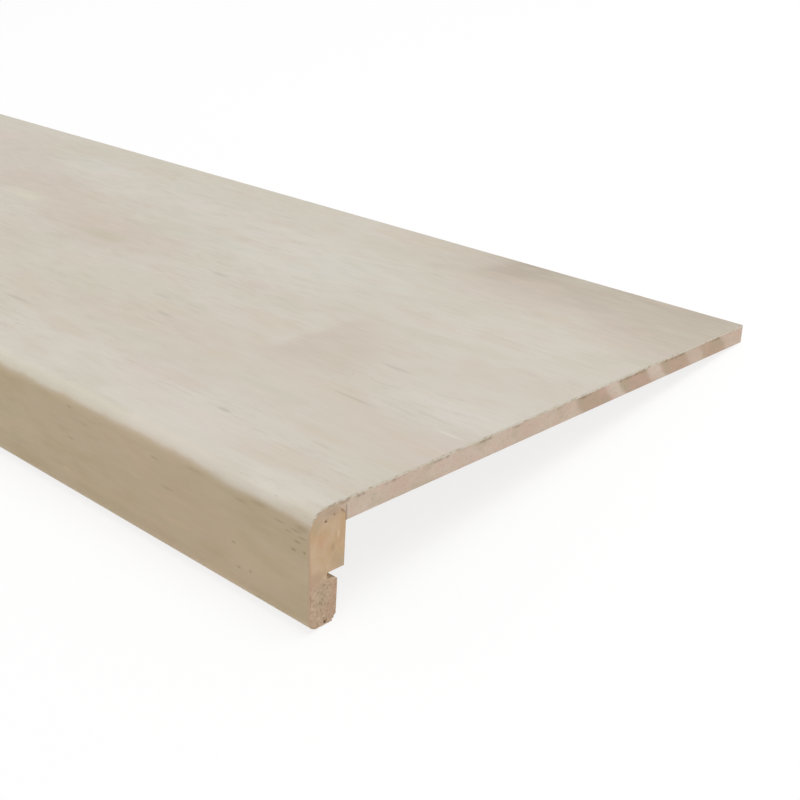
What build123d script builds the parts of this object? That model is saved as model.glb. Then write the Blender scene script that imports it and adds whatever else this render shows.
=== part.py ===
"""Retrofit stair tread: a board with a moulded nosing glued to its front edge, faced with one sheet of laminate.

X runs along the tread, and Z is up. The section is drawn as it is used, with the board level: local x is the
distance back from the front of the nose, and local y is the height, measured down from the walking surface.
The finished tread is then tipped back onto its heel and its back edge, as it lies by itself on a level floor.
"""
from build123d import *
from math import atan2, degrees, radians, tan
import os

# Overall sizes, in millimetres
tread_length = 1194.0
tread_depth = 308.0
nose_height = 50.8
tread_thickness = 9.5

# Laminate facing
laminate_thickness = 1.0

# Moulded front of the nosing
nose_radius = 9.5
toe_radius = 4.8

# Back of the nosing: its thickness is taken at the underside of the board, and it leans in towards the sole
nosing_thickness = 19.2
back_draft = 2.0
foot_step = 3.3
heel_width = 1.7
heel_height = 2.4

# Groove in the back of the nosing, with a floor that falls towards its mouth
groove_drop = 28.6
groove_height = 3.2
groove_fall = 1.0
groove_web = 9.7

# Lap where the board runs out over the rounded shoulder of the nosing
lap_length = 7.2
lap_drop = 5.3
shoulder_rise = 0.8


def back_at(drop):
    """Distance from the front of the nose to the nosing's upper back, at a drop below the walking surface."""
    return nosing_thickness - (drop - tread_thickness) * tan(radians(back_draft))


heel = Vector(back_at(nose_height) - foot_step - heel_width, -nose_height)
seam_top = Vector(back_at(laminate_thickness + lap_drop), -laminate_thickness - lap_drop)
seam_bottom = Vector(nosing_thickness, -tread_thickness)
lap_tip = Vector(nosing_thickness - lap_length, -laminate_thickness)
back_edge = Vector(tread_depth, -tread_thickness)


def skin_edges(inset):
    """Edges of the faced surface, or of a line that far under it, from the back edge round to the toe."""
    nose_centre = (nose_radius, -nose_radius)
    toe_centre = (toe_radius, toe_radius - nose_height)
    return [
        Line((tread_depth, -inset), (nose_radius, -inset)),
        CenterArc(nose_centre, nose_radius - inset, 90, 90),
        Line((inset, -nose_radius), (inset, toe_radius - nose_height)),
        CenterArc(toe_centre, toe_radius - inset, 180, 90),
    ]


def shoulder_edge():
    """The glued slope between the nosing's rounded shoulder and the board."""
    return SagittaArc(lap_tip, seam_top, shoulder_rise)


def laminate_section():
    """One sheet of even thickness over the board, round the nose, down the front and round the toe."""
    back_end = Line((tread_depth, 0), (tread_depth, -laminate_thickness))
    toe_end = Line((toe_radius, -nose_height), (toe_radius, laminate_thickness - nose_height))
    return make_face([*skin_edges(0), *skin_edges(laminate_thickness), back_end, toe_end])


def nosing_section():
    """The nosing: rounded front, flat sole, broken heel, grooved back and rounded shoulder."""
    _, nose, front, toe = skin_edges(laminate_thickness)
    top = Line((nose_radius, -laminate_thickness), lap_tip)
    foot_top = groove_drop + groove_height + groove_fall
    back = Polyline(
        (toe_radius, laminate_thickness - nose_height),
        (toe_radius, -nose_height),
        heel,
        (back_at(nose_height - heel_height) - foot_step, heel_height - nose_height),
        (back_at(foot_top) - foot_step, -foot_top),
        (groove_web, -groove_drop - groove_height),
        (groove_web, -groove_drop),
        (back_at(groove_drop), -groove_drop),
        seam_top,
    )
    return make_face([top, nose, front, toe, *back.edges(), shoulder_edge()])


def board_section():
    """The board: flat, square at the back, and feathered out over the nosing's shoulder at the front."""
    outline = Polyline(seam_top, seam_bottom, back_edge, (tread_depth, -laminate_thickness), lap_tip)
    return make_face([*outline.edges(), shoulder_edge()])


def run_along(section):
    """The section carried along the whole tread, half to each side of the middle."""
    return extrude(Plane.YZ * section, tread_length / 2, both=True)


def laid_on_floor(solid):
    """Tipped back until the heel and the lower back edge both touch the floor, and centred over the origin."""
    lean = back_edge - heel
    tip = -degrees(atan2(lean.Y, lean.X))
    whole = run_along(laminate_section() + nosing_section() + board_section()).rotate(Axis.X, tip)
    box = whole.bounding_box()
    return solid.rotate(Axis.X, tip).translate((0, -box.center().Y, -box.min.Z))


sections = {
    "decor_laminate": laminate_section(),
    "nosing_block": nosing_section(),
    "tread_board": board_section(),
}

os.makedirs("parts", exist_ok=True)
for name, section in sections.items():
    export_step(laid_on_floor(run_along(section)), f"parts/{name}.step")
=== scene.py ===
"""Looks of a retrofit stair tread: a thin board with a moulded nosing, faced with a washed-oak print.

The tread lies top up on a level floor, tipped back on the heel of its nosing and on its lower back edge.
Its meshes are drawn level, in millimetres: x along the tread, y back from the front of the nose and z up from the
walking surface. Each is laid down into the shared frame, in metres, when it is finished.
"""

from __future__ import annotations

import logging
import math
from collections.abc import Sequence
from dataclasses import dataclass
from enum import Enum

import bmesh
import bpy
from mathutils import Matrix, Vector, noise


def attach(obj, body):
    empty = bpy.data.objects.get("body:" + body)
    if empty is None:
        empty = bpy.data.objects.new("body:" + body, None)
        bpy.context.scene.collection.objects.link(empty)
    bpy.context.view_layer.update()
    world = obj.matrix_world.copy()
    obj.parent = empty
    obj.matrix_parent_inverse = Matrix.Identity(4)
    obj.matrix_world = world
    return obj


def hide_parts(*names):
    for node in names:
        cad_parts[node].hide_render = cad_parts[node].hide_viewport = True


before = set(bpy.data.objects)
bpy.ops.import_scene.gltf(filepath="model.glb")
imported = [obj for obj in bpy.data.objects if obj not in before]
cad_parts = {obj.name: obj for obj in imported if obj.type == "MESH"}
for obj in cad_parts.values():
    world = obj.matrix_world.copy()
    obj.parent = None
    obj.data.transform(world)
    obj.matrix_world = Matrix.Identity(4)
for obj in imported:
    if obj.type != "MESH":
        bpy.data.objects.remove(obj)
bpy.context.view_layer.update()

log = logging.getLogger("tread")

MM = 0.001
ROOT = "root"
SKIN = "skin"
WELD = 1e-4
SHARP_ANGLE = math.radians(35)
ROUND_STEPS = 16
BOW_STEPS = 8
QUARTER = math.pi / 2
WHITE = (1.0, 1.0, 1.0, 1.0)

Socket = bpy.types.NodeSocket


class End(Enum):
    """The two cut ends of the tread, by the direction that each faces along x."""

    RIGHT = 1
    LEFT = -1


# Sizes


@dataclass(frozen=True)
class TreadSection:
    """The section's sizes in millimetres, the same as the solids have."""

    length: float = 1194.0
    depth: float = 308.0
    nose_height: float = 50.8
    thickness: float = 9.5
    laminate: float = 1.0
    nose_radius: float = 9.5
    toe_radius: float = 4.8
    nosing: float = 19.2
    draft: float = math.radians(2.0)
    foot_step: float = 3.3
    heel_width: float = 1.7
    heel_height: float = 2.4
    groove_drop: float = 28.6
    groove_height: float = 3.2
    groove_fall: float = 1.0
    groove_web: float = 9.7
    lap_length: float = 7.2
    lap_drop: float = 5.3
    shoulder_rise: float = 0.8

    def back_at(self, drop: float) -> float:
        """Distance back to the nosing's leaning back, at a drop below the walking surface."""
        return self.nosing - (drop - self.thickness) * math.tan(self.draft)

    @property
    def half(self) -> float:
        """Half the tread's length."""
        return self.length / 2

    @property
    def seam_drop(self) -> float:
        """Drop at which the upright seam between nosing and board begins."""
        return self.laminate + self.lap_drop

    @property
    def lip_drop(self) -> float:
        """Drop of the groove's lower lip, at the top of the foot's back."""
        return self.groove_drop + self.groove_height + self.groove_fall

    @property
    def heel(self) -> float:
        """Distance back to the heel, the lowest line that the nosing rests on."""
        return self.back_at(self.nose_height) - self.foot_step - self.heel_width

    @property
    def tip(self) -> float:
        """Angle by which the tread leans back when it lies on its heel and its back edge."""
        return math.atan2(self.nose_height - self.thickness, self.depth - self.heel)

    def shoulder(self) -> tuple[Vector, Vector, Vector, float]:
        """The bowed line along which the board laps over the nosing, as y and z.

        Returns:
            Its front tip, its lower end, its arc's centre, and the angle that turns the tip to the lower end.
        """
        tip = Vector((self.nosing - self.lap_length, -self.laminate))
        seam = Vector((self.back_at(self.seam_drop), -self.seam_drop))
        chord, rise = seam - tip, self.shoulder_rise
        radius = chord.length**2 / (8 * rise) + rise / 2
        off = Vector((chord.y, -chord.x)).normalized()
        return tip, seam, (tip + seam) / 2 + off * (radius - rise), -2 * math.asin(chord.length / 2 / radius)

    def laying(self) -> Matrix:
        """Turns level millimetres into metres in the shared frame.

        Returns:
            The matrix that tips the tread back, centres it and sets it on the floor.
        """
        turn = Matrix.Rotation(-self.tip, 4, "X")
        lowest = (turn @ Vector((0, self.heel, -self.nose_height))).z
        toe = turn @ Vector((0, self.toe_radius, self.toe_radius - self.nose_height))
        back = turn @ Vector((0, self.depth, 0))
        middle = (toe.y - self.toe_radius + back.y) / 2
        return Matrix.Scale(MM, 4) @ Matrix.Translation((0, -middle, -lowest)) @ turn

    def skin_distance(self, y: float, z: float) -> float:
        """Where a point of the facing lies on the flat sheet that it was before it was wrapped.

        Args:
            y: Distance back from the nose.
            z: Height over the walking surface.

        Returns:
            The distance along the sheet, equal to y on the flat top and falling on round the nose and the toe.
        """
        nose, toe = self.nose_radius, self.toe_radius
        if y >= nose and z > -self.seam_drop:
            return y
        if z > -nose:
            return nose - nose * math.atan2(nose - y, nose + z)
        front = nose - nose * QUARTER
        if z > toe - self.nose_height:
            return front + nose + z
        bottom = front + nose + toe - self.nose_height
        return bottom - toe * math.atan2(toe - self.nose_height - z, toe - y)


# Shaders


def linear(hex_colour: str) -> tuple[float, float, float, float]:
    """Turns an sRGB hex colour into linear light.

    Args:
        hex_colour: Six hex digits, with or without a leading hash.

    Returns:
        Linear red, green and blue, with an alpha of 1.
    """
    digits = hex_colour.lstrip("#")
    values = [int(digits[i : i + 2], 16) / 255 for i in (0, 2, 4)]
    red, green, blue = (v / 12.92 if v <= 0.04045 else ((v + 0.055) / 1.055) ** 2.4 for v in values)
    return red, green, blue, 1.0


def add_node(
    tree: bpy.types.NodeTree, kind: str, inputs: dict[int | str, object] | None = None, **settings: object
) -> bpy.types.Node:
    """Adds a node with its settings, its input values and its links.

    Args:
        tree: The tree that gets the node.
        kind: The node's type name.
        inputs: What each input socket gets, by name or number: another node's output socket, or a value.
        settings: Properties to set on the node itself.

    Returns:
        The new node.
    """
    node = tree.nodes.new(kind)
    for name, value in settings.items():
        setattr(node, name, value)
    for key, value in (inputs or {}).items():
        if isinstance(value, Socket):
            tree.links.new(value, node.inputs[key])
        else:
            node.inputs[key].default_value = value
    return node


def seen_rays(tree: bpy.types.NodeTree) -> Socket:
    """Tells the rays that show a background, straight on, through glass or in a reflection, from those that light.

    Args:
        tree: The tree that gets the nodes.

    Returns:
        1 on a camera, transmission or glossy ray and 0 on any other.
    """
    path = add_node(tree, "ShaderNodeLightPath").outputs
    straight = {0: path["Is Camera Ray"], 1: path["Is Transmission Ray"]}
    through = add_node(tree, "ShaderNodeMath", straight, operation="MAXIMUM").outputs[0]
    return add_node(tree, "ShaderNodeMath", {0: through, 1: path["Is Glossy Ray"]}, operation="MAXIMUM").outputs[0]


@dataclass(frozen=True)
class Spot:
    """A soft oval place on a surface, in millimetres, and the colour that shows there."""

    x: float
    y: float
    reach_x: float
    reach_y: float
    colour: str
    share: float


@dataclass(frozen=True)
class Cloud:
    """A soft noise: its blotches' size in millimetres, a seed that sets it apart, and its finer layers."""

    size: tuple[float, float, float]
    seed: float
    detail: float = 2.0
    rough: float = 0.5


@dataclass(frozen=True)
class Bars:
    """Soft-edged bars along one axis, in millimetres, all shifted alike, and the colour that shows on them."""

    spans: tuple[tuple[float, float], ...]
    shift: float
    soft: float
    colour: str
    share: float


@dataclass(frozen=True)
class Tone:
    """A colour that shows with a cloud's value or a distance: where it starts and is full, and its share there."""

    colour: str
    start: float
    full: float
    share: float = 1.0


class Finish:
    """What every finish shares: a material whose patterns are drawn in the level section's millimetres."""

    title = "plain"
    # How far apart two seeds lie in the noise, how much of a spot is full, and how deep an end's spots go.
    seed_steps, spot_core, end_depth = (97.0, 53.0, 31.0), 0.15, 60.0

    def __init__(self, section: TreadSection) -> None:
        """Starts the material with its coordinates and draws its pattern.

        Args:
            section: The tread's sizes, which the pattern's axes follow.
        """
        self.section = section
        self.material = bpy.data.materials.new(self.title)
        self.material.use_nodes = True
        self.tree = self.material.node_tree
        self.tree.nodes.clear()
        self.point = self.level_point()
        parts = add_node(self.tree, "ShaderNodeSeparateXYZ", {0: self.point})
        self.x, self.y, self.z = parts.outputs
        self.draw()

    def draw(self) -> None:
        """Draws the pattern and joins it to the surface; each finish has its own."""
        raise NotImplementedError

    def level_point(self) -> Socket:
        """Object coordinates turned back into the level section's millimetres."""
        laying = self.section.laying()
        place = add_node(self.tree, "ShaderNodeTexCoord")
        inputs = {
            "Vector": place.outputs["Object"],
            "Location": laying.translation,
            "Rotation": (-self.section.tip, 0, 0),
            "Scale": (MM, MM, MM),
        }
        return add_node(self.tree, "ShaderNodeMapping", inputs, vector_type="TEXTURE").outputs[0]

    def maths(self, operation: str, *values: object) -> Socket:
        """The result of one sum on sockets or numbers."""
        return add_node(self.tree, "ShaderNodeMath", dict(enumerate(values)), operation=operation).outputs[0]

    def vector(self, operation: str, *values: object) -> Socket:
        """The result of one sum on vectors; a length is a number."""
        results = add_node(self.tree, "ShaderNodeVectorMath", dict(enumerate(values)), operation=operation).outputs
        return results["Value" if operation == "LENGTH" else "Vector"]

    def product(self, *values: object) -> Socket:
        """Two or more sockets or numbers multiplied together."""
        total, *others = values
        for value in others:
            total = self.maths("MULTIPLY", total, value)
        return total

    def scaled(self, point: Socket, scale: Sequence[float], shift: Sequence[float]) -> Socket:
        """A point shifted and then stretched, for a pattern that is drawn longer one way."""
        return self.vector("MULTIPLY", self.vector("SUBTRACT", point, shift), scale)

    def cloud(self, point: Socket, cloud: Cloud) -> Socket:
        """Reads a cloud at a point in millimetres.

        Args:
            point: Where the noise is read.
            cloud: Its size, seed and finer layers.

        Returns:
            The noise's value, from 0 to 1.
        """
        read = self.scaled(point, [1 / s for s in cloud.size], [cloud.seed * step for step in self.seed_steps])
        inputs = {"Vector": read, "Scale": 1.0, "Detail": cloud.detail, "Roughness": cloud.rough}
        return add_node(self.tree, "ShaderNodeTexNoise", inputs).outputs[0]

    def between(self, value: object, low: float, high: float, out: tuple[float, float] = (0.0, 1.0)) -> Socket:
        """A smooth step of a value, from the first result at low to the second at high."""
        inputs = {0: value, 1: low, 2: high, 3: out[0], 4: out[1]}
        return add_node(self.tree, "ShaderNodeMapRange", inputs, interpolation_type="SMOOTHSTEP").outputs[0]

    def lay(self, colour: object, place: Socket, spots: Sequence[Spot]) -> Socket:
        """Lays soft oval spots over a colour.

        Args:
            colour: The colour so far.
            place: Where the spots are measured: two distances on the surface, and 0 where they may show.
            spots: The spots, lowest first.

        Returns:
            The colour with the spots on it.
        """
        for spot in spots:
            reach = (spot.reach_x, spot.reach_y, self.end_depth)
            away = self.scaled(place, [1 / r for r in reach], (spot.x, spot.y, 0))
            share = self.between(self.vector("LENGTH", away), self.spot_core, 1.0, (spot.share, 0.0))
            colour = self.tint(colour, spot.colour, share)
        return colour

    def lay_tone(self, colour: object, value: object, tone: Tone, where: object = None) -> Socket:
        """Lays a tone over a colour.

        Args:
            colour: The colour so far.
            value: What the tone goes by: a cloud's value or a distance.
            tone: The colour that shows.
            where: A socket or number that says how much of the tone shows in each place, if not all.

        Returns:
            The colour with the tone on it.
        """
        share = self.between(value, tone.start, tone.full, (0.0, tone.share))
        if where is not None:
            share = self.maths("MULTIPLY", share, where)
        return self.tint(colour, tone.colour, share)

    def end_face(self) -> Socket:
        """The place on the right-hand end: y, z, and the distance from that end."""
        along = self.maths("SUBTRACT", self.x, self.section.half)
        return add_node(self.tree, "ShaderNodeCombineXYZ", {0: self.y, 1: self.z, 2: along}).outputs[0]

    def tint(self, base: object, over: object, share: object, mode: str = "MIX") -> Socket:
        """One colour laid over another.

        Args:
            base: The colour underneath, a socket or an sRGB hex.
            over: The colour on top, a socket or an sRGB hex.
            share: How much of the top colour shows, a socket or a number.
            mode: How the two are blended.

        Returns:
            The blended colour.
        """
        base, over = (linear(c) if isinstance(c, str) else c for c in (base, over))
        node = add_node(self.tree, "ShaderNodeMix", {0: share, 6: base, 7: over}, data_type="RGBA", blend_type=mode)
        return node.outputs[2]

    def finish(self, colour: object, roughness: object, relief: object, depth: float, specular: float) -> None:
        """Joins colour, roughness and relief to the surface.

        Args:
            colour: The base colour's socket.
            roughness: A socket or a number.
            relief: The height pattern's socket.
            depth: How high the relief stands, in millimetres.
            specular: The strength of the reflection at the surface.
        """
        bump = add_node(self.tree, "ShaderNodeBump", {"Height": relief, "Strength": 1.0, "Distance": depth * MM})
        inputs = {"Base Color": colour, "Roughness": roughness, "Normal": bump.outputs[0]}
        surface = add_node(self.tree, "ShaderNodeBsdfPrincipled", {**inputs, "Specular IOR Level": specular})
        add_node(self.tree, "ShaderNodeOutputMaterial", {0: surface.outputs[0]})


class WashedOakPrint(Finish):
    """Printed melamine facing, pressed with a shallow grain.

    To the eye it is a pale limed oak: nearly even from afar, with broad pink, olive and bluish clouds, one crown of
    darker figure, and short broken grain marks that run along the tread, under a low satin sheen. It is warmer
    down the front. Painted light is drawn into it too: a painted highlight along the nose's rounding with painted
    shade below it, painted shade towards the top's back right corner, and a painted lift round the toe. The grain
    marks are about as long as real oak pores but twice as wide, so that they show.
    """

    title = "printed melamine, washed oak"
    base = "#ccc4b6"
    # Among the patches, the dark spots at (-60, 320) and (-6, 262) are painted shade towards the top's back right
    # corner; the pale spots at (-150, 20) and (-12, 10) along the nose are partly painted highlight, partly lighter
    # print.
    patches = (
        Spot(-1120, 110, 120, 50, "#c4b6a7", 0.45), Spot(-1040, 262, 150, 40, "#c6bfab", 0.45),
        Spot(-930, 190, 60, 30, "#bfae9e", 0.45), Spot(-880, 92, 120, 40, "#c5bda9", 0.4),
        Spot(-800, 150, 120, 40, "#d6d0c5", 0.4), Spot(-730, 265, 70, 34, "#c2b3a3", 0.45),
        Spot(-590, 240, 100, 46, "#c5b7a9", 0.5), Spot(-500, 200, 95, 44, "#c3b3a4", 0.5),
        Spot(-425, 178, 80, 40, "#c4b5a5", 0.35), Spot(-360, 160, 100, 46, "#c2b1a1", 0.55),
        Spot(-352, 150, 26, 12, "#b6ab8c", 0.45), Spot(-470, 172, 34, 12, "#d6d2bd", 0.5),
        Spot(-540, 285, 150, 34, "#c3bda9", 0.5), Spot(-380, 240, 150, 45, "#cfc9c1", 0.35),
        Spot(-230, 215, 130, 62, "#d5d0c7", 0.45), Spot(-70, 195, 95, 45, "#d6d0c5", 0.3),
        Spot(-250, 85, 190, 50, "#c4bdaa", 0.35), Spot(-150, 20, 300, 38, "#dbd4cc", 0.33),
        Spot(-12, 10, 46, 13, "#e2dbd3", 0.26), Spot(-60, 320, 225, 92, "#b1a291", 0.8),
        Spot(-135, 300, 42, 34, "#a2907e", 0.55), Spot(-70, 272, 26, 14, "#aca89b", 0.3),
        Spot(-6, 262, 60, 52, "#b5a794", 0.4), Spot(-28, 112, 50, 40, "#ddd9d4", 0.35),
        Spot(-385, 105, 52, 36, "#bdb19f", 0.2), Spot(-395, 215, 46, 30, "#bfb4a2", 0.2),
        Spot(-500, 262, 60, 30, "#d3cfc9", 0.3), Spot(-22, -28, 46, 18, "#d8d2c2", 0.32),
    )  # fmt: skip
    marks = (
        Spot(-244, 158, 11, 2.4, "#9d9685", 0.35), Spot(-94, 38, 7, 2.0, "#8f8672", 0.31),
        Spot(-234, 111, 12, 2.2, "#a39b88", 0.31), Spot(-212, 94, 9, 2.0, "#9a927f", 0.31),
        Spot(-280, 52, 16, 2.4, "#a39c88", 0.35), Spot(-78, 128, 14, 2.6, "#a3998a", 0.31),
        Spot(-66, 88, 20, 1.6, "#a19885", 0.35), Spot(-12, 90, 12, 1.4, "#ded9cf", 0.55),
        Spot(-40, 44, 10, 1.6, "#b9b29f", 0.39), Spot(-155, -3, 3.5, 0.8, "#9a8d6f", 0.35),
        Spot(-155, -18, 3.5, 0.8, "#9a8d6f", 0.35), Spot(-93, -6, 4, 0.9, "#9a8d6f", 0.35),
        Spot(-85, -17, 6, 0.9, "#9a8d6f", 0.31), Spot(-43, -25, 1.8, 0.8, "#85785b", 0.43),
        Spot(-40, -35, 2.0, 0.8, "#85785b", 0.43), Spot(-33, -34, 1.3, 1.0, "#85785b", 0.39),
        Spot(-8, -14, 2.2, 0.8, "#7c6f52", 0.47), Spot(-6, -10, 2.8, 0.7, "#857858", 0.47),
        Spot(-2, -13, 1.2, 0.9, "#7c6f52", 0.47), Spot(-67, -2.6, 10, 1.4, "#8e8168", 0.2),
        Spot(-28, -2.6, 7, 1.3, "#8e8168", 0.22), Spot(-4, -3.8, 5, 1.7, "#857858", 0.25),
        Spot(-6.5, -5.6, 4.5, 0.7, "#857858", 0.36), Spot(-3.2, -7.4, 3.6, 0.6, "#857858", 0.36),
        Spot(-11, -7.2, 3.0, 0.6, "#857858", 0.3), Spot(-16, -5.2, 4.0, 0.8, "#8a7d60", 0.26),
        Spot(-38, -5.0, 6.0, 0.8, "#8a7d60", 0.22), Spot(-137, -36, 90, 2.6, "#d5cdbb", 0.31),
        Spot(-160, -34.5, 4, 1.4, "#dcd4c4", 0.47),
    )  # fmt: skip
    # Round the nose the print is multiplied by this ramp: a painted highlight along the rounding, painted shade
    # falling off below it, and the print's warmer tone down the front.
    nose_highlight_and_print_tones = (
        (0.0, "#eedec6"), (0.24, "#ecddc5"), (0.36, "#ebddc8"), (0.405, "#eee2d1"), (0.448, "#f5ece2"),
        (0.49, "#fdf8f3"), (0.555, "#fffefc"), (0.722, "#fdfdfc"), (0.944, "#efefef"),
    )  # fmt: skip
    broad = (
        (Cloud((210, 75, 1), 1.3), Tone("#c8c2b2", 0.45, 0.7)),
        (Cloud((150, 60, 1), 2.1), Tone("#cdc0b4", 0.5, 0.72)),
    )
    mottle, rosy, sage = Cloud((58, 21, 1), 8.2), Tone("#c9baa7", 0.52, 0.7, 0.38), Tone("#c1bda8", 0.47, 0.3, 0.34)
    front_mottle = Cloud((36, 10, 1), 9.4, 3.0)
    olive, buff = Tone("#bfb699", 0.51, 0.67, 0.36), Tone("#d5cbbb", 0.47, 0.34, 0.38)
    streaks, streak = Cloud((62, 4.2, 1), 5.6), Tone("#b3a995", 0.5, 0.68, 0.09)
    grain = Cloud((15, 1.9, 1), 3.7)
    dark_grain, pale_grain = Tone("#a39a85", 0.52, 0.72, 0.13), Tone("#dbd5ca", 0.46, 0.28, 0.1)
    fleck = Cloud((19, 6.5, 1), 11.3, 3.0)
    dark_fleck, pale_fleck = Tone("#aea28e", 0.53, 0.68, 0.11), Tone("#ddd8cd", 0.45, 0.33, 0.07)
    pores, pore = Cloud((5.5, 0.9, 1), 6.1, 1.0), Tone("#8b806c", 0.68, 0.76, 0.22)
    bend_place = (700.0, 300.0, 0.0)
    patch_bend, crown_bend = ((70, 50, 1), (60, 26, 0)), ((30, 26, 1), (16, 14, 0))
    crown, crown_share, crown_left, crown_right = "#bfac9d", 0.42, (-143, -134), (-112, -70, (1.0, 0.0))
    crown_slope, crown_top, crown_foot = (0.7, 92.0), (188, 140), (84, 112)
    wear, worn_zone = Cloud((110, 34, 1), 4.9), (0.4, 0.64, (0.1, 1.0))
    # Zones are a start, an end and the share at each: down the sheet, or along the tread from the right-hand end.
    front_zone = (0.0, -4.0)
    rosy_zone = (-6.0, 0.0, (0.3, 1.0))
    brushed_zone = (-70.0, -190.0, (0.25, 1.0))
    # The painted highlight round the nose gives way to the warmer front along a ragged line
    # that wanders by a few millimetres.
    ragged, ragged_reach = Cloud((17, 60, 1), 7.3, 3.0), 3.4
    drift_zone = (-110.0, 0.0, (-2.15, -0.5))
    nose_span = (-8.0, 10.0)
    # The whole print is scaled by 1.137, and round the toe by up to 1.2: the rise round the toe is painted light that
    # lifts the shade under the toe.
    print_gain_and_painted_toe_light = (-40.5, -43.0, (1.137, 1.2))
    sheen = (0.3, 0.7, (0.44, 0.52))

    def draw(self) -> None:
        """Draws the print and its painted light on the flat sheet, by the distance from the right-hand end and the
        distance down.
        """
        skin = add_node(self.tree, "ShaderNodeAttribute", attribute_name=SKIN).outputs["Fac"]
        along = self.maths("SUBTRACT", self.x, self.section.half)
        sheet = add_node(self.tree, "ShaderNodeCombineXYZ", {0: along, 1: skin}).outputs[0]

        colour: object = self.base
        for cloud, tone in self.broad:
            colour = self.lay_tone(colour, self.cloud(sheet, cloud), tone)
        colour = self.lay(colour, self.bend(sheet, *self.patch_bend), self.patches)
        colour = self.lay_crown(colour, self.bend(sheet, *self.crown_bend))

        front = self.between(skin, *self.front_zone)
        worn = self.between(self.cloud(sheet, self.wear), *self.worn_zone)
        brushed = self.between(along, *self.brushed_zone)
        mottle, front_mottle = self.cloud(sheet, self.mottle), self.cloud(sheet, self.front_mottle)
        grain, fleck = self.cloud(sheet, self.grain), self.cloud(sheet, self.fleck)
        for cloud, tone, where in (
            (mottle, self.rosy, self.between(skin, *self.rosy_zone)),
            (front_mottle, self.olive, front),
            (front_mottle, self.buff, front),
            (mottle, self.sage, None),
            (self.cloud(sheet, self.streaks), self.streak, worn),
            (grain, self.dark_grain, worn),
            (grain, self.pale_grain, None),
            (fleck, self.dark_fleck, brushed),
            (fleck, self.pale_fleck, brushed),
            (self.cloud(sheet, self.pores), self.pore, worn),
        ):
            colour = self.lay_tone(colour, cloud, tone, where)
        colour = self.lay(colour, sheet, self.marks)

        # Painted highlight round the nose and painted shade below it, over the warmer print of the front.
        drift = self.between(along, *self.drift_zone)
        drift = self.maths("MULTIPLY_ADD", self.cloud(sheet, self.ragged), self.ragged_reach, drift)
        low, high = self.nose_span
        wrap = add_node(self.tree, "ShaderNodeMapRange", {0: self.maths("ADD", skin, drift), 1: low, 2: high})
        tone = add_node(self.tree, "ShaderNodeValToRGB", {0: wrap.outputs[0]})
        stops = tone.color_ramp.elements
        while len(stops) < len(self.nose_highlight_and_print_tones):
            stops.new(1.0)
        for stop, (place, shade) in zip(stops, self.nose_highlight_and_print_tones):
            stop.position, stop.color = place, linear(shade)
        colour = self.tint(colour, tone.outputs[0], 1.0, "MULTIPLY")
        # Painted light round the toe, over an even gain on the whole print.
        colour = self.vector("MULTIPLY", colour, self.between(skin, *self.print_gain_and_painted_toe_light))
        self.finish(colour, self.between(grain, *self.sheen), relief=grain, depth=0.02, specular=0.4)

    def bend(self, sheet: Socket, size: Sequence[float], pull: Sequence[float]) -> Socket:
        """Pulls the sheet about, so that what is laid on it gets a ragged outline.

        Args:
            sheet: The place on the flat sheet.
            size: How long the bends are along each axis, in millimetres.
            pull: How far they go.

        Returns:
            The place after bending.
        """
        read = self.scaled(sheet, [1 / s for s in size], self.bend_place)
        cloud = add_node(self.tree, "ShaderNodeTexNoise", {"Vector": read, "Scale": 1.0, "Detail": 2.0})
        shift = self.scaled(cloud.outputs["Color"], pull, (0.5, 0.5, 0.5))
        return self.vector("ADD", sheet, shift)

    def lay_crown(self, colour: Socket, sheet: Socket) -> Socket:
        """Lays the crown of darker figure over the colour: sharp at its left, faded out to the right.

        Args:
            colour: The colour so far.
            sheet: The place on the flat sheet.

        Returns:
            The colour with the crown on it.
        """
        along, skin, _ = add_node(self.tree, "ShaderNodeSeparateXYZ", {0: sheet}).outputs
        slope, drop = self.crown_slope
        slant = self.maths("MULTIPLY_ADD", along, slope, self.maths("ADD", skin, drop))
        edges = ((along, self.crown_left), (along, self.crown_right), (slant, self.crown_top), (skin, self.crown_foot))
        share = self.product(*(self.between(place, *zone) for place, zone in edges), self.crown_share)
        return self.tint(colour, self.crown, share)


class SheetEdge(Finish):
    """Sawn edge of the facing: pale paper and resin, with a fine chip here and there."""

    title = "sawn laminate edge"
    spots = (
        Spot(5.6, -2.0, 3.0, 1.0, "#9a8871", 0.65), Spot(11.4, -0.9, 3.6, 0.7, "#93816b", 0.65),
        Spot(16.2, -0.9, 1.8, 0.6, "#a3917c", 0.5), Spot(20.5, -0.8, 1.6, 0.6, "#95836d", 0.5),
    )  # fmt: skip
    base = "#ded5c5"
    chips, chip = Cloud((1.6, 2.4, 0.9), 1.1, 1.0), Tone("#c3b49c", 0.5, 0.7)
    front = Tone("#c3a88c", -3.5, -9.0)

    def draw(self) -> None:
        """Draws the sawn edge."""
        chips = self.cloud(self.point, self.chips)
        colour = self.lay_tone(self.lay_tone(self.base, chips, self.chip), self.z, self.front)
        colour = self.lay(colour, self.end_face(), self.spots)
        self.finish(colour, roughness=0.7, relief=chips, depth=0.06, specular=0.3)


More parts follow.
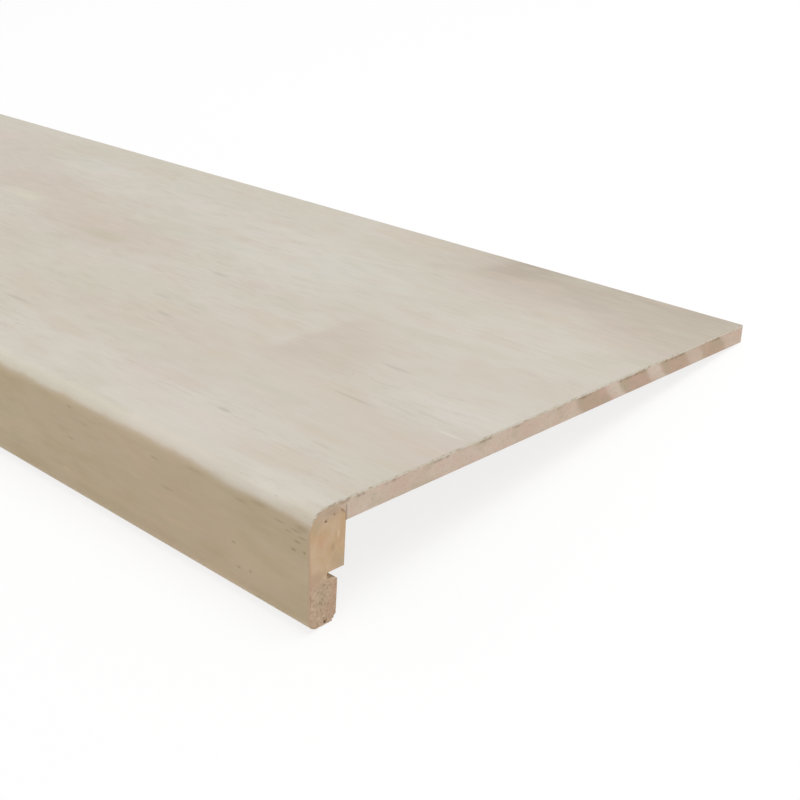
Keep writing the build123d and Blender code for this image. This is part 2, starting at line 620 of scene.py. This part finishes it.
class NosingEndGrain(Finish):
    """Sawn end of the solid-wood nosing.

    A dull tan with faint orange and olive patches: nearly smooth over the groove, and rough with torn fibres on the
    foot under it. Torn pits get painted shade in the hole and a pale fibre beside it.
    """

    title = "sawn end grain, nosing"
    patches = (
        Spot(6.5, -13.5, 4.5, 5.0, "#d5a888", 0.5), Spot(4.0, -7.5, 4.0, 4.5, "#bdae8c", 0.5),
        Spot(8.0, -11.0, 4.0, 4.0, "#c9a97a", 0.4), Spot(17.5, -26.5, 4.0, 4.5, "#b3a78a", 0.45),
        Spot(14.0, -24.0, 5.0, 6.0, "#c0a27c", 0.5), Spot(10.5, -2.0, 14.0, 7.5, "#c6b19c", 0.7),
        Spot(12.0, -3.4, 6.0, 2.2, "#b8a48f", 0.35), Spot(15.4, -13.9, 0.9, 2.4, "#e6d0ab", 0.6),
        Spot(12.6, -18.6, 1.7, 2.8, "#a98c62", 0.4), Spot(0.6, -33.0, 2.2, 20.0, "#c79c86", 0.5),
        Spot(14.0, -38.0, 2.5, 6.0, "#cba08a", 0.5), Spot(11.0, -44.0, 6.0, 6.0, "#bf9682", 0.25),
        Spot(7.0, -39.0, 4.5, 9.0, "#b7a88b", 0.45),
    )  # fmt: skip
    # The dark brown spots sit in the mesh's torn pits and are painted shade in the holes; the pale ones are torn
    # fibres.
    pits = (
        Spot(9.1, -6.7, 0.8, 0.7, "#6e5238", 0.8), Spot(8.4, -5.9, 0.5, 0.5, "#e3cdb2", 0.7),
        Spot(9.9, -7.4, 0.5, 0.5, "#e3cdb2", 0.6), Spot(12.6, -4.6, 0.6, 0.5, "#e6d2ba", 0.8),
        Spot(13.4, -5.1, 0.7, 0.5, "#8d7157", 0.7), Spot(17.2, -4.2, 1.1, 0.6, "#6a5039", 0.5),
        Spot(16.8, -5.0, 0.6, 0.5, "#ecd9c2", 0.9), Spot(18.5, -5.8, 0.6, 0.8, "#77604a", 0.45),
        Spot(4.6, -28.6, 5.5, 4.0, "#b79b7f", 0.45), Spot(8.3, -30.0, 0.6, 1.6, "#e0c6a6", 0.7),
        Spot(9.1, -50.0, 1.0, 0.7, "#50382a", 0.9),
    )  # fmt: skip
    base = "#d8bb9b"
    ground, ochre = Cloud((9, 7, 12), 1.7), Tone("#d1b18b", 0.4, 0.64)
    foot = Tone("#ccb095", -26.0, -34.0)
    fibres, dark_fibre, pale_fibre = (
        Cloud((1.5, 1.0, 1.3), 2.9, 2.0, 0.7), Tone("#7f654c", 0.5, 0.68), Tone("#e6d0b6", 0.47, 0.3),
    )  # fmt: skip
    tearing, torn_zone, rough_zone = Cloud((6, 5, 5), 4.4), (0.4, 0.62, (0.35, 1.0)), (-30.5, -35.0)
    # How much shows on the torn foot beyond the smooth part, and how much on the smooth part.
    dark_shares, pale_shares, relief_shares = (0.65, 0.06), (0.75, 0.05), (0.9, 0.1)
    seam, seam_zone = Tone("#6f573c", 18.7, 19.2, 0.5), (-9.7, -9.3)

    def draw(self) -> None:
        """Draws the end grain."""
        colour = self.lay_tone(self.base, self.cloud(self.point, self.ground), self.ochre)
        colour = self.lay_tone(colour, self.z, self.foot)
        colour = self.lay(colour, self.end_face(), self.patches)
        fibres = self.cloud(self.point, self.fibres)
        torn = self.between(self.cloud(self.point, self.tearing), *self.torn_zone)
        rough = self.maths("MULTIPLY", torn, self.between(self.z, *self.rough_zone))
        for tone, shares in ((self.dark_fibre, self.dark_shares), (self.pale_fibre, self.pale_shares)):
            colour = self.lay_tone(colour, fibres, tone, self.maths("MULTIPLY_ADD", rough, *shares))
        # Painted shade in the torn pits, and pale fibres beside them.
        colour = self.lay(colour, self.end_face(), self.pits)
        colour = self.lay_tone(colour, self.y, self.seam, self.between(self.z, *self.seam_zone))
        relief = self.maths("MULTIPLY", fibres, self.maths("MULTIPLY_ADD", rough, *self.relief_shares))
        self.finish(colour, roughness=0.82, relief=relief, depth=0.3, specular=0.2)


class BoardEndGrain(Finish):
    """Sawn end of the board.

    A pale fawn, even towards the nosing and banded light and dark towards the back, where wide rings were cut
    across. A broken dark line shows under the facing.
    """

    title = "sawn end grain, board"
    dark_bands = ((165.0, 187.7), (199.0, 222.2), (233.4, 254.9), (268.8, 289.0))
    torn_glue = (
        (11.0, 21.0), (25.0, 29.0), (40.0, 47.0), (67.0, 77.0), (95.0, 104.0), (119.0, 124.0), (149.0, 152.0),
        (164.0, 174.0), (196.0, 218.0), (234.0, 252.0), (276.0, 286.0),
    )  # fmt: skip
    base = "#dcc8b6"
    pale = Bars(((186.0, 240.0),), 0.0, 6.0, "#ebdfd0", 0.3)
    dark, core = Bars(dark_bands, -1.5, 4.5, "#bda98f", 0.7), Bars(dark_bands, 1.5, 14.0, "#cba08f", 0.27)
    glue, glue_zone = Bars(torn_glue, 0.0, 2.0, "#7f6b55", 0.45), (-2.6, -1.7)
    seam, seam_zone = Bars(((19.0, 19.8),), 0.0, 0.5, "#6f5640", 0.42), (-2.4, -3.6)
    lap = Tone("#c3a78c", 19.6, 18.8, 0.3)
    # The rings lean towards the nose as they rise, and wander by a few millimetres.
    ring_slant, ring_wander, wander = 0.85, 6.0, Cloud((40, 24, 7), 5.3)
    ground, fawn = Cloud((14, 14, 9), 1.9), Tone("#d6c1ad", 0.4, 0.64)
    hue, rosy, olive = Cloud((20, 9, 6), 9.1), Tone("#dcb7a8", 0.5, 0.66, 0.32), Tone("#b9b092", 0.46, 0.34, 0.3)
    pores, pore = Cloud((1.2, 1.6, 1.2), 3.3, 1.0), Tone("#a78d72", 0.56, 0.74, 0.2)
    breaks, broken_zone = Cloud((5, 3.5, 60), 7.7), (0.42, 0.56, (0.25, 1.0))
    saw_marks = Cloud((1.2, 1.2, 1.2), 4.1, 2.0, 0.6)

    def draw(self) -> None:
        """Draws the end grain."""
        wander = self.maths("MULTIPLY_ADD", self.cloud(self.point, self.wander), self.ring_wander, self.y)
        ring = self.maths("MULTIPLY_ADD", self.z, self.ring_slant, wander)
        dark = self.bars(ring, self.dark)
        pale = self.maths("MAXIMUM", self.maths("SUBTRACT", self.bars(ring, self.pale), dark), 0.0)
        colour = self.lay_tone(self.base, self.cloud(self.point, self.ground), self.fawn)
        for bars, shown in ((self.pale, pale), (self.dark, dark), (self.core, self.bars(ring, self.core))):
            colour = self.tint(colour, bars.colour, self.product(shown, bars.share))
        hue = self.cloud(self.point, self.hue)
        colour = self.lay_tone(self.lay_tone(colour, hue, self.rosy), hue, self.olive)
        colour = self.lay_tone(colour, self.cloud(self.point, self.pores), self.pore)
        broken = self.between(self.cloud(self.point, self.breaks), *self.broken_zone)
        # A broken dark line just under the facing.
        glue = self.product(self.bars(self.y, self.glue), self.between(self.z, *self.glue_zone), broken)
        colour = self.tint(colour, self.glue.colour, self.product(glue, self.glue.share))
        colour = self.lay_tone(colour, self.y, self.lap)
        seam = self.product(self.bars(self.y, self.seam), self.between(self.z, *self.seam_zone))
        colour = self.tint(colour, self.seam.colour, self.product(seam, self.seam.share))
        self.finish(colour, roughness=0.85, relief=self.cloud(self.point, self.saw_marks), depth=0.12, specular=0.2)

    def bars(self, place: Socket, bars: Bars) -> Socket:
        """Draws bars along one axis.

        Args:
            place: The distance that the bars are measured on.
            bars: Where they start and stop, and how soft they are.

        Returns:
            1 on a bar and 0 off it.
        """
        total: object = 0.0
        for start, stop in bars.spans:
            low, high, half = start + bars.shift, stop + bars.shift, bars.soft / 2
            rise = self.between(place, low - half, low + half)
            fall = self.between(place, high - half, high + half, (1.0, 0.0))
            total = self.maths("MAXIMUM", total, self.maths("MULTIPLY", rise, fall))
        return total


class PlanedWood(Finish):
    """Planed raw softwood on the hidden sides.

    Long straight grain runs along the tread, dull and dry. Inside the groove it is painted paler: painted light that
    stands in for light reaching into the groove.
    """

    title = "planed raw wood"
    base = "#d3bea2"
    grain, dark_grain = Cloud((160, 3.2, 3.2), 2.3, 3.0, 0.55), Tone("#bfa585", 0.42, 0.64)
    boards, warm = Cloud((420, 26, 26), 6.6, 1.0), Tone("#c9ae8e", 0.4, 0.65, 0.6)
    # Paler inside the groove: painted light.
    groove, groove_foot = Tone("#efddc3", -28.3, -28.9, 0.8), (-33.4, -32.8)

    def draw(self) -> None:
        """Draws the planed faces."""
        grain = self.cloud(self.point, self.grain)
        colour = self.lay_tone(self.base, grain, self.dark_grain)
        colour = self.lay_tone(colour, self.cloud(self.point, self.boards), self.warm)
        # Painted light inside the groove.
        colour = self.lay_tone(colour, self.z, self.groove, self.between(self.z, *self.groove_foot))
        self.finish(colour, roughness=0.75, relief=grain, depth=0.08, specular=0.3)


class FloorPaint(Finish):
    """Even white studio floor that keeps the tread's shadow.

    Part of what the camera sees is a plain white glow, and all of it from a few metres away.
    """

    title = "white studio floor"
    paint, glow_strength = "#f8f8f8", 1.02
    glow_zone = (1500.0, 4500.0, (0.8, 1.0))

    def draw(self) -> None:
        """Draws the floor."""
        matt = add_node(self.tree, "ShaderNodeBsdfDiffuse", {"Color": linear(self.paint)})
        glow = add_node(self.tree, "ShaderNodeEmission", {"Color": WHITE, "Strength": self.glow_strength})
        away = self.vector("LENGTH", self.point)
        share = self.maths("MULTIPLY", seen_rays(self.tree), self.between(away, *self.glow_zone))
        mixed = add_node(self.tree, "ShaderNodeMixShader", {0: share, 1: matt.outputs[0], 2: glow.outputs[0]})
        add_node(self.tree, "ShaderNodeOutputMaterial", {0: mixed.outputs[0]})


# Mesh tools


class SectionPen:
    """Draws a closed outline across the tread at one end, from straight runs and spun arcs, in millimetres."""

    def __init__(self, mesh: bmesh.types.BMesh, x: float) -> None:
        """Takes up the pen.

        Args:
            mesh: The mesh that gets the outline.
            x: Where along the tread the outline lies.
        """
        self.mesh, self.x = mesh, x
        self.first: bmesh.types.BMVert | None = None
        self.last: bmesh.types.BMVert | None = None

    def line(self, y: float, z: float) -> None:
        """Sets the pen down on the first point, and draws a straight run to any other."""
        point = self.mesh.verts.new((self.x, y, z))
        if self.last:
            self.mesh.edges.new((self.last, point))
        self.first, self.last = self.first or point, point

    def arc(self, y: float, z: float, turn: float, steps: int = ROUND_STEPS) -> None:
        """Spins the last point round a centre.

        Args:
            y: The centre's distance back.
            z: The centre's height.
            turn: The angle in radians, positive from +y towards +z.
            steps: How many straight pieces the arc has.
        """
        spun = bmesh.ops.spin(
            self.mesh, geom=[self.last], cent=(self.x, y, z), axis=(1, 0, 0), angle=turn, steps=steps
        )
        self.last = next(e for e in spun["geom_last"] if isinstance(e, bmesh.types.BMVert))

    def close(self) -> bmesh.types.BMFace:
        """Joins the ends of the outline and fills it.

        Returns:
            The face across the tread.
        """
        if (self.last.co - self.first.co).length > WELD:
            self.mesh.edges.new((self.last, self.first))
        bmesh.ops.remove_doubles(self.mesh, verts=self.mesh.verts[:], dist=WELD)
        filled = bmesh.ops.contextual_create(self.mesh, geom=self.mesh.edges[:])
        return filled["faces"][0]


@dataclass
class Piece:
    """One piece of the tread: a section run along the whole length, with worked ends."""

    section: TreadSection
    name: str
    node: str
    slot: str
    sides: bpy.types.Material
    ends: bpy.types.Material
    cell: tuple[float, float] = (2.0, 2.0)
    band: float = 2.0
    # How far a face has to turn along the tread to be taken for sawn.
    end_on = 0.5

    def draw(self, pen: SectionPen) -> None:
        """Draws the piece's outline; each kind of piece has its own."""
        raise NotImplementedError

    def relief(self, end: End, y: float, z: float) -> float:
        """How deep a point of the sawn end is set in, in millimetres; each kind of piece has its own."""
        raise NotImplementedError

    def ripple(self, end: End, y: float, z: float, pitch: Sequence[float]) -> float:
        """Reads smooth noise on a sawn end.

        Args:
            end: The end.
            y: Distance back from the nose.
            z: Height over the walking surface.
            pitch: What y, z and the end's direction are multiplied by, so that the two ends differ.

        Returns:
            The noise's value, about -1 to 1.
        """
        return noise.noise(Vector((y * pitch[0], z * pitch[1], end.value * pitch[2])))

    def run(self) -> bmesh.types.BMesh:
        """Runs the outline along the tread.

        Returns:
            The closed mesh, level and in millimetres.
        """
        mesh = bmesh.new()
        pen = SectionPen(mesh, self.section.half)
        self.draw(pen)
        grown = bmesh.ops.extrude_face_region(mesh, geom=[pen.close()], use_keep_orig=True)
        far = [v for v in grown["geom"] if isinstance(v, bmesh.types.BMVert)]
        bmesh.ops.translate(mesh, verts=far, vec=(-self.section.length, 0, 0))
        bmesh.ops.recalc_face_normals(mesh, faces=mesh.faces[:])
        return mesh

    def work_end(self, mesh: bmesh.types.BMesh, end: End) -> None:
        """Cuts one end into small cells and moves their corners, so that it is sawn and not perfect.

        Args:
            mesh: The piece's mesh.
            end: The end to work on.
        """
        edge = self.section.half - self.band

        def strip() -> list[bmesh.types.BMFace]:
            """The faces from the end to the band's inner edge."""
            return [f for f in mesh.faces if all(v.co.x * end.value > edge - WELD for v in f.verts)]

        bmesh.ops.bisect_plane(
            mesh,
            geom=[*mesh.verts, *mesh.edges, *mesh.faces],
            plane_co=(edge * end.value, 0, 0),
            plane_no=(1, 0, 0),
            dist=WELD,
        )
        corners = [v.co for f in strip() for v in f.verts]
        for axis, pitch in ((1, self.cell[0]), (2, self.cell[1])):
            low, high = min(c[axis] for c in corners), max(c[axis] for c in corners)
            count = max(1, round((high - low) / pitch))
            normal = Vector((0, 0, 0))
            normal[axis] = 1
            for i in range(1, count):
                faces = strip()
                geom = {*faces, *(e for f in faces for e in f.edges), *(v for f in faces for v in f.verts)}
                at = normal * (low + (high - low) * i / count)
                bmesh.ops.bisect_plane(mesh, geom=list(geom), plane_co=at, plane_no=normal, dist=WELD)
        for vert in mesh.verts:
            if vert.co.x * end.value > self.section.half - WELD:
                vert.co += Vector((-end.value * self.relief(end, vert.co.y, vert.co.z), 0, 0))

    def build(self) -> bpy.types.Object:
        """Builds, dresses and lays down the piece.

        Returns:
            The finished object.
        """
        mesh = self.run()
        for end in End:
            self.work_end(mesh, end)
        skin = mesh.verts.layers.float.new(SKIN)
        for vert in mesh.verts:
            vert[skin] = self.section.skin_distance(vert.co.y, vert.co.z)
        limit = self.section.half - self.band / 2
        for face in mesh.faces:
            face.smooth = True
            face.material_index = int(abs(face.calc_center_median().x) > limit and abs(face.normal.x) > self.end_on)
        self.colour_faces(mesh)
        bmesh.ops.transform(mesh, matrix=self.section.laying(), verts=mesh.verts[:])
        data = bpy.data.meshes.new(self.name)
        mesh.to_mesh(data)
        mesh.free()
        data.set_sharp_from_angle(angle=SHARP_ANGLE)
        data.materials.append(self.sides)
        data.materials.append(self.ends)
        piece = bpy.data.objects.new(self.name, data)
        bpy.context.scene.collection.objects.link(piece)
        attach(piece, ROOT)
        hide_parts(self.node)
        log.info("%s: %d faces, stands for %s", self.name, len(data.polygons), self.node)
        return piece

    def colour_faces(self, mesh: bmesh.types.BMesh) -> None:
        """Gives further faces the end's finish where a piece needs it."""


@dataclass
class Facing(Piece):
    """The printed sheet over the board, round the nose, down the front and round the toe."""

    chips, chip_from, top_chip, front_chip = (0.35, 0.35, 11.0), 0.15, 0.9, 0.2
    waves, wave_depth = (0.9, 0.9, 5.0), 0.04

    def draw(self, pen: SectionPen) -> None:
        """Draws the sheet's outer line, and its inner line back again."""
        s = self.section
        nose, toe = s.nose_radius, s.toe_radius
        pen.line(s.depth, 0)
        pen.line(nose, 0)
        pen.arc(nose, -nose, QUARTER)
        pen.line(0, toe - s.nose_height)
        pen.arc(toe, toe - s.nose_height, QUARTER)
        pen.line(toe, s.laminate - s.nose_height)
        pen.arc(toe, toe - s.nose_height, -QUARTER)
        pen.line(s.laminate, -nose)
        pen.arc(nose, -nose, -QUARTER)
        pen.line(s.depth, -s.laminate)

    def relief(self, end: End, y: float, z: float) -> float:
        """Fine chips along the sawn edge, where the saw came through the print."""
        depth = self.top_chip if z > -self.section.seam_drop else self.front_chip
        chip = max(0.0, self.ripple(end, y, z, self.chips) - self.chip_from)
        return chip * depth + abs(self.wave_depth * self.ripple(end, y, z, self.waves))

    def colour_faces(self, mesh: bmesh.types.BMesh) -> None:
        """Gives the sheet's inner face and its back and toe edges the sawn edge's finish."""
        s = self.section
        for face in mesh.faces:
            spot = face.calc_center_median()
            on_top = spot.z > -WELD
            on_front = spot.y < WELD
            radius = math.hypot(spot.y - s.nose_radius, spot.z + s.nose_radius)
            on_nose = spot.y < s.nose_radius and spot.z > -s.nose_radius and radius > s.nose_radius - s.laminate / 2
            low = Vector((spot.y - s.toe_radius, spot.z - s.toe_radius + s.nose_height))
            on_toe = low.x < 0 and low.y < 0 and low.length > s.toe_radius - s.laminate / 2
            if not (on_top or on_front or on_nose or on_toe):
                face.material_index = 1


@dataclass(frozen=True)
class Pit:
    """A small hole torn out of the sawn end."""

    y: float
    z: float
    radius: float
    depth: float


@dataclass
class Nosing(Piece):
    """The wooden nosing under the facing: grooved back, broken heel and rounded shoulder."""

    pits: Sequence[Pit] = (
        Pit(9.1, -6.5, 0.9, 0.8), Pit(13.1, -5.0, 0.8, 0.6), Pit(17.6, -4.9, 1.0, 0.8), Pit(9.1, -49.4, 1.0, 1.2),
    )  # fmt: skip
    fibres, torn_depth, smooth_depth = (0.8, 0.8, 7.0), 0.28, 0.05
    # The heel breaks away round a place a little above and behind it.
    heel_place, heel_reach, heel_depth = (1.5, 1.0), 2.2, 0.5
    ragged, least_ragged = (1.6, 1.6, 14.0), 0.6

    def draw(self, pen: SectionPen) -> None:
        """Draws the nosing's outline from its top round the front."""
        s = self.section
        nose, toe = s.nose_radius, s.toe_radius
        tip, seam, centre, turn = s.shoulder()
        pen.line(*tip)
        pen.line(nose, -s.laminate)
        pen.arc(nose, -nose, QUARTER)
        pen.line(s.laminate, toe - s.nose_height)
        pen.arc(toe, toe - s.nose_height, QUARTER)
        pen.line(toe, -s.nose_height)
        pen.line(s.heel, -s.nose_height)
        pen.line(s.back_at(s.nose_height - s.heel_height) - s.foot_step, s.heel_height - s.nose_height)
        pen.line(s.back_at(s.lip_drop) - s.foot_step, -s.lip_drop)
        pen.line(s.groove_web, -s.groove_drop - s.groove_height)
        pen.line(s.groove_web, -s.groove_drop)
        pen.line(s.back_at(s.groove_drop), -s.groove_drop)
        pen.line(*seam)
        pen.arc(*centre, -turn, BOW_STEPS)

    def relief(self, end: End, y: float, z: float) -> float:
        """Torn fibres on the foot, pits above it, and a ragged heel."""
        rough = self.torn_depth if z < -self.section.lip_drop else self.smooth_depth
        deep = rough * abs(self.ripple(end, y, z, self.fibres))
        for pit in self.pits:
            away = math.hypot(y - pit.y, z - pit.z) / pit.radius
            deep += pit.depth * math.sqrt(max(0.0, 1 - away))
        back, up = self.heel_place
        heel = math.hypot(y - self.section.heel - back, z + self.section.nose_height - up)
        broken = self.least_ragged + self.ripple(end, y, z, self.ragged)
        return max(0.0, deep + max(0.0, self.heel_reach - heel) * self.heel_depth * broken)


@dataclass
class Board(Piece):
    """The board that is walked on, feathered out over the nosing's shoulder."""

    waves, wave_depth = (0.5, 0.8, 3.0), 0.05
    # The tears are read along one row of the noise, and fade out below the facing.
    tears, tear_row, tear_from, tear_depth = (0.25, 1.0, 9.0), 1.5, 0.1, 0.55
    tear_drop, tear_reach = 0.6, 1.2

    def draw(self, pen: SectionPen) -> None:
        """Draws the board's outline from the top of its seam."""
        s = self.section
        tip, seam, centre, turn = s.shoulder()
        pen.line(*seam)
        pen.line(s.nosing, -s.thickness)
        pen.line(s.depth, -s.thickness)
        pen.line(s.depth, -s.laminate)
        pen.line(*tip)
        pen.arc(*centre, turn, BOW_STEPS)

    def relief(self, end: End, y: float, z: float) -> float:
        """Shallow saw waves, and torn spots under the facing."""
        wave = self.wave_depth * abs(self.ripple(end, y, z, self.waves))
        torn = max(0.0, self.ripple(end, y, self.tear_row, self.tears) - self.tear_from)
        near_top = max(0.0, 1 - abs(z + self.section.laminate + self.tear_drop) / self.tear_reach)
        return wave + self.tear_depth * near_top * torn


# Studio


@dataclass(frozen=True)
class Studio:
    """A pale floor, soft light from above and the right, and the camera."""

    floor_size: float = 40.0
    camera_place: tuple[float, float, float] = (0.90478, -0.40110, 0.31149)
    camera_turn: tuple[float, float, float] = (61.3976, 3.6729, 43.5050)
    lens: float = 58.6
    sensor: float = 36.0
    clip: tuple[float, float] = (0.01, 200.0)
    sky: float = 0.5
    lamp_place: tuple[float, float, float] = (1.0, 0.6, 3.2)
    lamp_aim: tuple[float, float, float] = (0.3, 0.0, 0.0)
    lamp_size: float = 2.4
    lamp_watts: float = 63.0

    def lay_floor(self, paint: bpy.types.Material) -> None:
        """Lays the floor under the tread."""
        mesh = bmesh.new()
        bmesh.ops.create_grid(mesh, x_segments=1, y_segments=1, size=self.floor_size / 2)
        data = bpy.data.meshes.new("floor")
        mesh.to_mesh(data)
        mesh.free()
        data.materials.append(paint)
        floor = bpy.data.objects.new("floor", data)
        bpy.context.scene.collection.objects.link(floor)

    def hang_softbox(self) -> None:
        """Hangs the square softbox over the tread and turns it to face its aim."""
        lamp = bpy.data.lights.new("softbox", "AREA")
        lamp.shape = "SQUARE"
        lamp.size = self.lamp_size
        lamp.energy = self.lamp_watts
        holder = bpy.data.objects.new("softbox", lamp)
        place = Vector(self.lamp_place)
        facing = (Vector(self.lamp_aim) - place).to_track_quat("-Z", "Y")
        holder.matrix_world = Matrix.Translation(place) @ facing.to_matrix().to_4x4()
        bpy.context.scene.collection.objects.link(holder)

    def light(self) -> None:
        """Lights the tread with an even white surround and one large softbox."""
        world = bpy.data.worlds.new("surround")
        bpy.context.scene.world = world
        world.use_nodes = True
        tree = world.node_tree
        tree.nodes.clear()
        sky = add_node(tree, "ShaderNodeBackground", {"Color": WHITE, "Strength": self.sky})
        seen = add_node(tree, "ShaderNodeBackground", {"Color": WHITE, "Strength": 1.0})
        mixed = add_node(tree, "ShaderNodeMixShader", {0: seen_rays(tree), 1: sky.outputs[0], 2: seen.outputs[0]})
        add_node(tree, "ShaderNodeOutputWorld", {0: mixed.outputs[0]})
        self.hang_softbox()

    def set_camera(self) -> None:
        """Sets the camera at the photograph's place and angle."""
        data = bpy.data.cameras.new("camera")
        data.sensor_fit = "HORIZONTAL"
        data.sensor_width = self.sensor
        data.lens = self.lens
        data.clip_start, data.clip_end = self.clip
        camera = bpy.data.objects.new("camera", data)
        camera.location = self.camera_place
        camera.rotation_euler = [math.radians(a) for a in self.camera_turn]
        bpy.context.scene.collection.objects.link(camera)
        bpy.context.scene.camera = camera
        bpy.context.scene.view_settings.view_transform = "Standard"


def main() -> None:
    """Builds the tread's pieces and the studio around them."""
    logging.basicConfig(level=logging.INFO, format="%(name)s: %(message)s")
    section = TreadSection()
    sheet_edge = SheetEdge(section).material
    planed = PlanedWood(section).material
    Facing(
        section, "facing", "decor_laminate", "laminate", WashedOakPrint(section).material, sheet_edge, (1.2, 1.2)
    ).build()
    Nosing(
        section, "nosing", "nosing_block", "nosing_wood", planed, NosingEndGrain(section).material, (0.7, 0.7)
    ).build()
    Board(
        section, "board", "tread_board", "board_wood", planed, BoardEndGrain(section).material, (1.5, 1.2)
    ).build()
    studio = Studio()
    studio.lay_floor(FloorPaint(section).material)
    studio.light()
    studio.set_camera()


if __name__ == "__main__":
    main()
